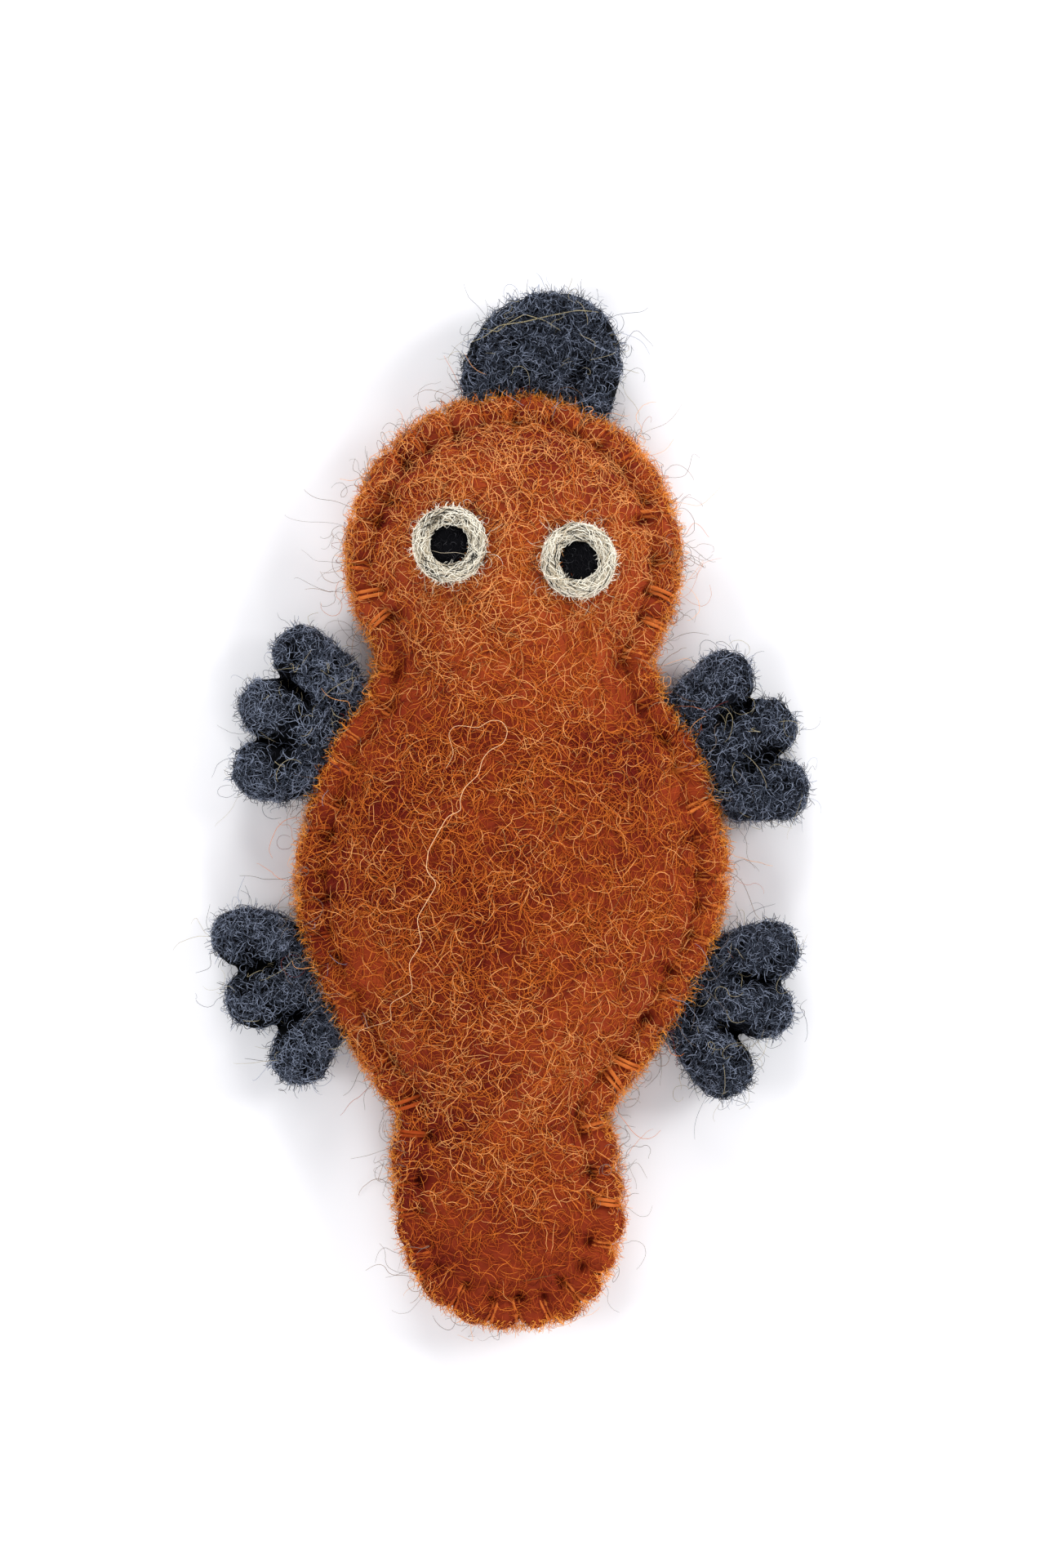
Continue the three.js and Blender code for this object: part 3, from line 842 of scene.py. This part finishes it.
def stitch_path(index, offset):
    """One strand over the seam: out of the dent, across the border, round and underneath."""
    k = edge_index((stitch_at[index] + offset) % edge_length)
    depth = stitch_depth[index]
    inward = -edge_normal[k]
    slant = np.array([-inward[1], inward[0]]) * (stitch_slant[index] + rng.uniform(-0.05, 0.05))
    proud = 0.9 * bareness(edge[[k]])[0] * rng.uniform(0.6, 1.0) - 0.1
    notch = SCALLOP * (0.8 + 1.6 * stitch_pull[index] - 0.75) - 0.2
    profile = ((depth + 0.2, -1.4), (depth - 0.3, -0.4), (depth - 0.9, 0.0),
               (depth * 0.55, proud), (depth * 0.3, proud))
    points = []
    for inside, above in profile:
        flat = edge[k] + inward * inside + slant * inside
        hit = drop_to(front_surface, place((*flat, 20.0)))[0]
        top = hit.z / MM if hit is not None else SEAM_Z + 1.5
        points.append((*flat, top + above))
    for inside, height in ((notch + 0.35, SEAM_Z + 1.7), (notch, SEAM_Z + 0.6),
                           (notch, SEAM_Z - 0.6), (notch + 0.4, SEAM_Z - 1.9),
                           (notch + 1.0, SEAM_Z - 2.85), (2.0, SEAM_Z - 3.15),
                           (depth - 0.5, SEAM_Z - 2.9), (depth, SEAM_Z - 1.6)):
        flat = edge[k] + inward * inside
        points.append((*flat, max(height, 0.36)))
    return np.array(points)


def smooth_path(points, count):
    """A rounded run through the points, evenly spaced."""
    run = np.concatenate([[0], np.cumsum(np.linalg.norm(np.diff(points, axis=0), axis=1))])
    even = np.linspace(0, run[-1], count)
    path = np.stack([np.interp(even, run, points[:, k]) for k in range(3)], 1)
    for _ in range(2):
        path[1:-1] = (path[:-2] + 2 * path[1:-1] + path[2:]) / 4
    return path


def thick_tubes(name, paths, radius, sides, material):
    """Yarn strands as one mesh, with a gentle lumpiness and closed ends."""
    points, faces = [], []
    for path in paths:
        along = np.gradient(path, axis=0)
        along /= np.linalg.norm(along, axis=1)[:, None]
        side = np.cross(along, [0.0, 0.0, 1.0])
        level = np.linalg.norm(side, axis=1) < 0.2
        side[level] = side[~level].mean(0)
        side /= np.linalg.norm(side, axis=1)[:, None]
        lift = np.cross(side, along)
        girth = radius * (1 + rng.normal(0, 0.07, len(path)))
        girth[0] = girth[-1] = radius * 0.4
        base = len(points)
        for k, centre in enumerate(path):
            for j in range(sides):
                a = 2 * math.pi * j / sides
                points.append(centre + girth[k] * (math.cos(a) * side[k] + math.sin(a) * lift[k]))
        faces += [(a, d, c, b) for a, b, c, d in ring_quads(len(path), sides, base)]
        faces.append(tuple(base + j for j in reversed(range(sides))))
        faces.append(tuple(base + (len(path) - 1) * sides + j for j in range(sides)))
    made = mesh_object(name, place(points), faces, [material])
    set_shade(made, 1)
    return made


strands = {"upper": [], "lower": []}
for index in range(stitch_count):
    part = "upper" if edge[edge_index(stitch_at[index])][1] > PANEL_SPLIT_Y else "lower"
    for offset in (-STRAND_APART, STRAND_APART):
        path = stitch_path(index, offset + rng.uniform(-0.08, 0.08))
        strands[part].append(smooth_path(path, 26))
stitches_upper = thick_tubes("whipstitches_upper", strands["upper"], STRAND_RADIUS, 7, yarn)
stitches_lower = thick_tubes("whipstitches_lower", strands["lower"], STRAND_RADIUS, 7, yarn)
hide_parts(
    "stitches_head_left", "stitches_head_right",
    "stitches_side_left", "stitches_side_right",
)
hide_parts("stitches_hip_left", "stitches_hip_right", "stitches_tail")
bend_at_neck(stitches_upper)
bend_at_waist(stitches_lower)

bend_at_waist(seam_strip("felt_seam_strip_left", -1))
bend_at_waist(seam_strip("felt_seam_strip_right", 1))
bend_at_neck(front_upper)
bend_at_waist(front_lower)
bend_at_neck(back_upper)
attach(back_tail, "tail")

# ------------ one long pale fibre

path = smooth_path(np.array([(x, y, 20.0) for x, y in LONG_FIBRE]), 150)
path = let_down(front_surface, place(path), 0.6)
long_tone = plain_fibres({"long_pale_fibre": (0.92, 0.58, 0.32)})
long_fibre = tubes("long_pale_fibre", [path], np.array([0.048 * MM]), [0], long_tone)
bend_at_neck(long_fibre)

# ------------ bill and feet


def seam_frame(joint):
    """A hinge's own frame: X out of the body, Y along the seam, Z up."""
    along = -Vector(joint["axis"]).normalized()
    out = along.cross(Vector((0, 0, 1)))
    rotation = Matrix((out, along, Vector((0, 0, 1)))).transposed()
    return Matrix.Translation(Vector(joint["pos_m"])) @ rotation.to_4x4()


def add_capsule(bm, start, end, radius, flatness):
    """A rounded bar from start to end, in millimetres, flattened along Z."""
    run = Vector(end) - Vector(start)
    balls = max(2, int(run.length / 0.8) + 1)
    for i in range(balls):
        centre = Vector(start) + run * i / (balls - 1)
        shape = Matrix.Translation(centre) @ Matrix.Diagonal((1, 1, flatness, 1))
        bmesh.ops.create_icosphere(bm, subdivisions=3, radius=radius, matrix=shape)


def hollow_shade(obj, points, normals, sunk):
    """Paints shade into the creases: points with felt close in front of them, and the slits."""
    surface = surface_of(obj)
    values = []
    for point, facing in zip(points, normals):
        normal = Vector(facing)
        start = Vector(point) + normal * 0.05 * MM
        side = normal.orthogonal()
        other = normal.cross(side)
        hits = 0
        for across, along in ((0, 0), (0.7, 0), (-0.7, 0), (0, 0.7), (0, -0.7)):
            ray = (normal + side * across + other * along).normalized()
            hits += surface.ray_cast(start, ray, 3.0 * MM)[0] is not None
        values.append(1 - 0.15 * hits)
    set_shade(obj, np.array(values) * (1 - 0.85 * sunk))


def slit_depth(points, slits):
    """0 on open felt to 1 at the bottom of the dark slits between the toes."""
    depth = np.zeros(len(points))
    for start, end in slits:
        run = np.array(end) - start
        along = np.clip(((points[:, :2] - start) @ run) / (run @ run), 0, 1)
        away = np.linalg.norm(points[:, :2] - (start + along[:, None] * run), axis=1)
        depth = np.maximum(depth, np.exp(-((away / 0.75) ** 2)))
    return depth


def felted(name, bm, matrix, lump, seed, slits=()):
    """Melts overlapping shapes into one skin, rounds it, and roughens it like felt."""
    bmesh.ops.scale(bm, vec=(MM, MM, MM), verts=bm.verts)
    mesh = bpy.data.meshes.new(name)
    bm.to_mesh(mesh)
    bm.free()
    made = new_object(name, mesh)
    melt = made.modifiers.new("melt", "REMESH")
    melt.mode = "VOXEL"
    melt.voxel_size = MELT_VOXEL * MM
    ease = made.modifiers.new("ease", "SMOOTH")
    ease.iterations = 5
    finer = made.modifiers.new("finer", "SUBSURF")
    finer.levels = finer.render_levels = 1
    evaluated = made.evaluated_get(bpy.context.evaluated_depsgraph_get())
    final = bpy.data.meshes.new_from_object(evaluated)
    made.modifiers.clear()
    made.data = final
    points, normals = points_of(final, "co"), points_of(final, "normal")
    rough = lumps(points / MM, 2.2, seed) * lump + lumps(points / MM, 0.8, seed + 3) * lump * 0.4
    sunk = slit_depth(points / MM, slits)
    points += normals * rough[:, None] * MM
    points[:, 2] -= sunk * SLIT_DEPTH * MM * (points[:, 2] > 0)
    hollow_shade(made, points, normals, sunk)
    final.vertices.foreach_set("co", points.ravel())
    final.transform(matrix)
    final.polygons.foreach_set("use_smooth", [True] * len(final.polygons))
    final.materials.clear()
    final.materials.append(grey_felt)
    return made


def open_felt(obj):
    """For choosing roots: the triangles out of the dark creases, facing up or sideways."""
    shades = np.empty(len(obj.data.vertices) * 4, np.float32)
    obj.data.attributes["shade"].data.foreach_get("color", shades)
    corners = np.array([t.vertices for t in obj.data.loop_triangles])
    lit = shades.reshape(-1, 4)[:, 0][corners].mean(1) ** 2
    return lambda normals: lit * upward(normals)


def dress_in_grey(piece, name, count, tones, bend):
    """The mat of curls, the brushed fuzz all round and the long strays of a thick grey piece."""
    piece.data.calc_loop_triangles()
    surface = surface_of(piece)
    roots, _ = random_roots(piece, count, open_felt(piece))
    paths = laid_fibres(surface, roots, 7, (1.4, 3.4), (0.05, 0.45), 0.45)
    mat = mixed_fibres(f"{name}_fibres", paths, (0.034, 0.052), tones, grey_fibres)
    roots, normals = random_roots(piece, count, open_felt(piece))
    paths = loose_fibres(roots, normals, 6, (0.6, 1.7), 0.35, 0.45)
    fuzz = mixed_fibres(f"{name}_fuzz", paths, (0.026, 0.042), (0.28, 0.47, 0.25), grey_fibres)
    roots, normals = random_roots(piece, count // 12)
    paths = loose_fibres(roots, normals, 16, (2.5, 7.0), 0.36, 0.6)
    strays = mixed_fibres(f"{name}_strays", paths, (0.018, 0.032), (0.2, 0.35, 0.2, 0.25), grey_fibres)
    for fibres in (mat, fuzz, strays):
        bend(fibres)


for seed, (foot, toes) in enumerate(TOES.items()):
    joint = joints[f"foot_{foot}_flap"]
    matrix = seam_frame(joint) @ Matrix.Rotation(DROOP, 4, "Y")
    bm = bmesh.new()
    flat = TOE_THICKNESS / (2 * TOE_RADIUS)
    for out, along in toes:
        heel = (2.6, along * 0.8, 0)
        add_capsule(bm, heel, (out - 0.4, along, 0), TOE_RADIUS, flat)
    slits = []
    for (out_a, along_a), (out_b, along_b) in zip(toes[:-1], toes[1:]):
        out, along = (out_a + out_b) / 2, (along_a + along_b) / 2
        slits.append(((out - SLIT_LENGTH, along * 0.85), (out + 0.1, along)))
    add_capsule(bm, (1.4, -5.2, 0), (1.4, 5.2, 0), 2.6, 0.72)
    add_capsule(bm, (-3.0, -5.0, 0), (-3.0, 5.0, 0), 2.2, 0.45)
    add_capsule(bm, (-1.0, -5.6, 0), (-1.0, 5.6, 0), 2.2, 0.5)
    piece = felted(f"foot_felt_{foot}", bm, matrix, 0.22, seed * 5.0, slits)
    start = matrix @ Vector((-FLAP_BEND * MM, 0, 0))
    end = matrix @ Vector((FLAP_BEND * MM, 0, 0))

    def bend_at_foot(obj, body=f"foot_{foot}", start=start, end=end):
        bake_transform(obj)

    dress_in_grey(piece, f"foot_{foot}", shown(FOOT_FIBRES), GREY_TONES[foot.split("_")[1]], bend_at_foot)
    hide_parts(f"foot_{foot}", f"foot_tab_{foot}")
    bend_at_foot(piece)

bill_matrix = seam_frame(joints["bill_flap"])
bm = bmesh.new()
for ring in range(5):
    reach = (BILL_RADIUS - BILL_ROUND) * ring / 4
    for i in range(15 if ring else 1):
        angle = math.radians(-98 + 196 * i / 14)
        along = reach * math.sin(angle)
        spot = (1.6 + reach * math.cos(angle) - 0.13 * along, along - 0.8, 0)
        add_capsule(bm, spot, spot, BILL_ROUND * 1.05, 0.95)
add_capsule(bm, (1.6, 6.4, 0), (-1.6, 6.2, 0), BILL_ROUND, 0.95)
add_capsule(bm, (1.6, -8.0, 0), (-1.8, -7.6, 0), BILL_ROUND, 0.95)
add_capsule(bm, (-3.4, -7.0, 0), (-3.4, 6.0, 0), 2.2, 0.45)
bill = felted("bill_felt", bm, bill_matrix, 0.25, 31.0)


def bend_at_bill(obj):
    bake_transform(obj)


bill_surface = surface_of(bill)
strands = []
for strand in BILL_STRANDS:
    path = smooth_path(np.array([(out, along, 12.0) for out, along in strand]), 60)
    above = [bill_matrix @ (Vector(point) * MM) for point in path]
    strands.append(let_down(bill_surface, above, 0.45))
straw = tubes("bill_strands", strands, np.array([0.09, 0.06, 0.06]) * MM, [3, 3, 0], grey_fibres)
bend_at_bill(straw)
dress_in_grey(bill, "bill", shown(BILL_FIBRES), GREY_TONES["right"], bend_at_bill)
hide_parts("bill", "bill_tab")
bend_at_bill(bill)

# ------------ eyes


def eye_matrix(side):
    """On the felt, square to it, over the CAD eye."""
    low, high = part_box(f"eye_white_{side}")
    centre = (Vector(low) + Vector(high)) / 2 + Vector((*EYE_SHIFT[side], 0)) * MM
    spot, normal = drop_to(front_surface, (centre.x, centre.y, 0.03))
    turn = Vector((0, 0, 1)).rotation_difference((normal + Vector((0, 0, 2))).normalized())
    return Matrix.Translation(spot) @ turn.to_matrix().to_4x4()


def eye_ring(name, matrix, seed):
    around, across = 72, 18
    points = []
    for i in range(around):
        a = 2 * math.pi * i / around
        for j in range(across):
            b = 2 * math.pi * j / across
            spot = Vector((math.cos(a), math.sin(a), 0))
            wobble = 1 + 0.05 * noise.noise(spot * 2.5 + Vector((seed, 0, 0)))
            r = RING_MIDDLE * wobble + RING_HALF * math.cos(b)
            z = RING_RISE + RING_THICK * math.sin(b)
            point = Vector((spot.x * r, spot.y * r, z))
            outward = spot * math.cos(b) + Vector((0, 0, math.sin(b)))
            point += outward * 0.13 * noise.noise(point * 1.6)
            points.append(tuple(matrix @ (point * MM)))
    ring = mesh_object(name, points, ring_quads(around, across, closed=True), [cream_felt])
    set_shade(ring, 1)
    return ring


def eye_pupil(name, matrix, seed):
    around, rings = 48, 9
    points = [tuple(matrix @ Vector((0, 0, PUPIL_RISE * MM)))]
    for k in range(1, rings + 1):
        t = k / rings
        for i in range(around):
            a = 2 * math.pi * i / around
            r = (EYE_INNER + 0.15) * math.sin(t * math.pi / 2)
            rough = noise.noise(Vector((r * math.cos(a), r * math.sin(a), seed)))
            z = PUPIL_RISE * math.cos(t * math.pi / 2) ** 0.7 + 0.12 * rough
            points.append(tuple(matrix @ (Vector((r * math.cos(a), r * math.sin(a), z)) * MM)))
    faces = [(0, 1 + i, 1 + (i + 1) % around) for i in range(around)]
    faces += ring_quads(rings, around, 1)
    faces.append(tuple(1 + (rings - 1) * around + i for i in reversed(range(around))))
    pupil = mesh_object(name, points, faces, [black_felt])
    set_shade(pupil, 1)
    return pupil


def wound_wool(name, matrix, count):
    """Loose strands of cream wool wound along and over an eye ring."""
    steps = 9
    t = np.linspace(0, 1, steps)[None, :]
    sweep = rng.uniform(0.3, 1.2, (count, 1)) * rng.choice((-1, 1), (count, 1))
    around = rng.uniform(0, 2 * math.pi, (count, 1)) + sweep * t
    over = rng.uniform(-0.2, math.pi + 0.2, (count, 1)) + rng.normal(0, 1.3, (count, 1)) * t
    over = np.clip(over + rng.normal(0, 0.12, (count, steps)), -0.4, math.pi + 0.4)
    lift = rng.uniform(0.0, 0.28, (count, 1)) * np.sin(math.pi * t)
    reach = RING_MIDDLE + (RING_HALF + lift) * np.cos(over)
    height = RING_RISE + (RING_THICK + lift) * np.sin(over)
    paths = np.stack([reach * np.cos(around), reach * np.sin(around), height], 2) * MM
    turn = np.array(matrix.to_3x3())
    paths = paths @ turn.T + np.array(matrix.translation)
    return mixed_fibres(name, paths, (0.04, 0.07), (0.68, 0.17, 0.15), cream_fibres)


def hairs_round_eye(name, matrix, count):
    """Fine dark and pale hairs that stray from the ring on to the felt beside it."""
    angle = rng.uniform(0, 2 * math.pi, count)
    reach = (EYE_OUTER + rng.uniform(-0.2, 0.5, count)) * MM
    spots = [matrix @ Vector((r * math.cos(a), r * math.sin(a), 0)) for a, r in zip(angle, reach)]
    paths = laid_fibres(front_surface, spots, 9, (1.5, 4.0), (0.5, 1.0), 0.35)
    return mixed_fibres(name, paths, (0.018, 0.032), (0.08, 0.32, 0.6), cream_fibres)


def ring_fuzz(name, matrix, count):
    """Short wool that softens both edges of the ring."""
    angle = rng.uniform(0, 2 * math.pi, count)
    outer = rng.random(count) < 0.75
    reach = np.where(outer, EYE_OUTER - 0.35, EYE_INNER + 0.45)
    flat = np.column_stack([np.cos(angle), np.sin(angle), np.zeros(count)])
    roots = flat * reach[:, None]
    roots[:, 2] = rng.uniform(0.25, 0.9, count)
    normals = flat * np.where(outer, 1, -1)[:, None]
    turn = np.array(matrix.to_3x3())
    roots = roots @ turn.T * MM + np.array(matrix.translation)
    paths = loose_fibres(roots, normals @ turn.T, 6, (0.5, 1.4), 0.45, 0.6)
    return mixed_fibres(name, paths, (0.03, 0.045), (0.8, 0.16, 0.04), cream_fibres)


def pupil_fluff(name, piece, count):
    roots, _ = random_roots(piece, count, upward)
    paths = laid_fibres(surface_of(piece), roots, 7, (0.6, 1.8), (0.02, 0.2), 0.5)
    return mixed_fibres(name, paths, (0.025, 0.04), (0.85, 0.15), black_fibres)


for side, seed in (("left", 2.0), ("right", 9.0)):
    matrix = eye_matrix(side)
    ring = eye_ring(f"eye_ring_{side}", matrix, seed)
    pupil = eye_pupil(f"eye_pupil_{side}", matrix, seed)
    wool = wound_wool(f"eye_ring_wool_{side}", matrix, shown(RING_STRANDS))
    hairs = hairs_round_eye(f"eye_hairs_{side}", matrix, shown(EYE_HAIRS))
    fuzz = ring_fuzz(f"eye_ring_fuzz_{side}", matrix, shown(RING_FUZZ))
    fluff = pupil_fluff(f"eye_pupil_fibres_{side}", pupil, shown(PUPIL_FIBRES))
    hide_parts(f"eye_white_{side}")
    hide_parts(f"pupil_{side}")
    for piece in (ring, wool, hairs, fuzz, pupil, fluff):
        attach(piece, "head")

matrix = eye_matrix("left")
strand = np.array([(-2.3, -0.7, 1.1), (-0.8, -1.1, 1.35), (0.9, -1.0, 1.35), (2.2, -1.3, 1.0)])
strand = [tuple(matrix @ (Vector(point) * MM)) for point in smooth_path(strand, 20)]
loose = tubes("eye_strand_left", [strand], np.array([0.022 * MM]), [1], cream_fibres)
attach(loose, "head")

# ------------ table, light and camera

floor_mesh = bpy.data.meshes.new("table")
corners = [(x * TABLE_HALF, y * TABLE_HALF, 0) for x, y in ((-1, -1), (1, -1), (1, 1), (-1, 1))]
floor_mesh.from_pydata(corners, [], [(0, 1, 2, 3)])
table = new_object("table", floor_mesh)
table.location.z = -0.0001
paper, _, shader = new_material("pale_table")
shader.inputs["Base Color"].default_value = (0.93, 0.93, 0.95, 1)
shader.inputs["Roughness"].default_value = 0.9
floor_mesh.materials.append(paper)

world = bpy.data.worlds.new("soft_white")
scene.world = world
world.use_nodes = True
background = world.node_tree.nodes["Background"]
background.inputs["Color"].default_value = (0.96, 0.96, 1.0, 1)
background.inputs["Strength"].default_value = 0.5

for name, x, y, energy in LIGHTS:
    light = bpy.data.lights.new(f"{name}_window", "AREA")
    light.shape = "DISK"
    light.size = LIGHT_SIZE
    light.energy = energy
    lamp = new_object(f"{name}_window", light)
    lamp.location = (x, y, LIGHT_HEIGHT)
    lamp.rotation_euler = Vector((-x, -y, -LIGHT_HEIGHT)).to_track_quat("-Z", "Y").to_euler()

camera_data = bpy.data.cameras.new("camera")
camera_data.lens = LENS
camera_data.sensor_width = SENSOR
camera_data.clip_start = 0.01
camera = new_object("camera", camera_data)
centre = place((1.4, 3.35, 4.0))
camera.location = (centre[0], centre[1], centre[2] + VIEW_LENGTH * LENS / SENSOR)
scene.camera = camera
scene.view_settings.view_transform = "Standard"
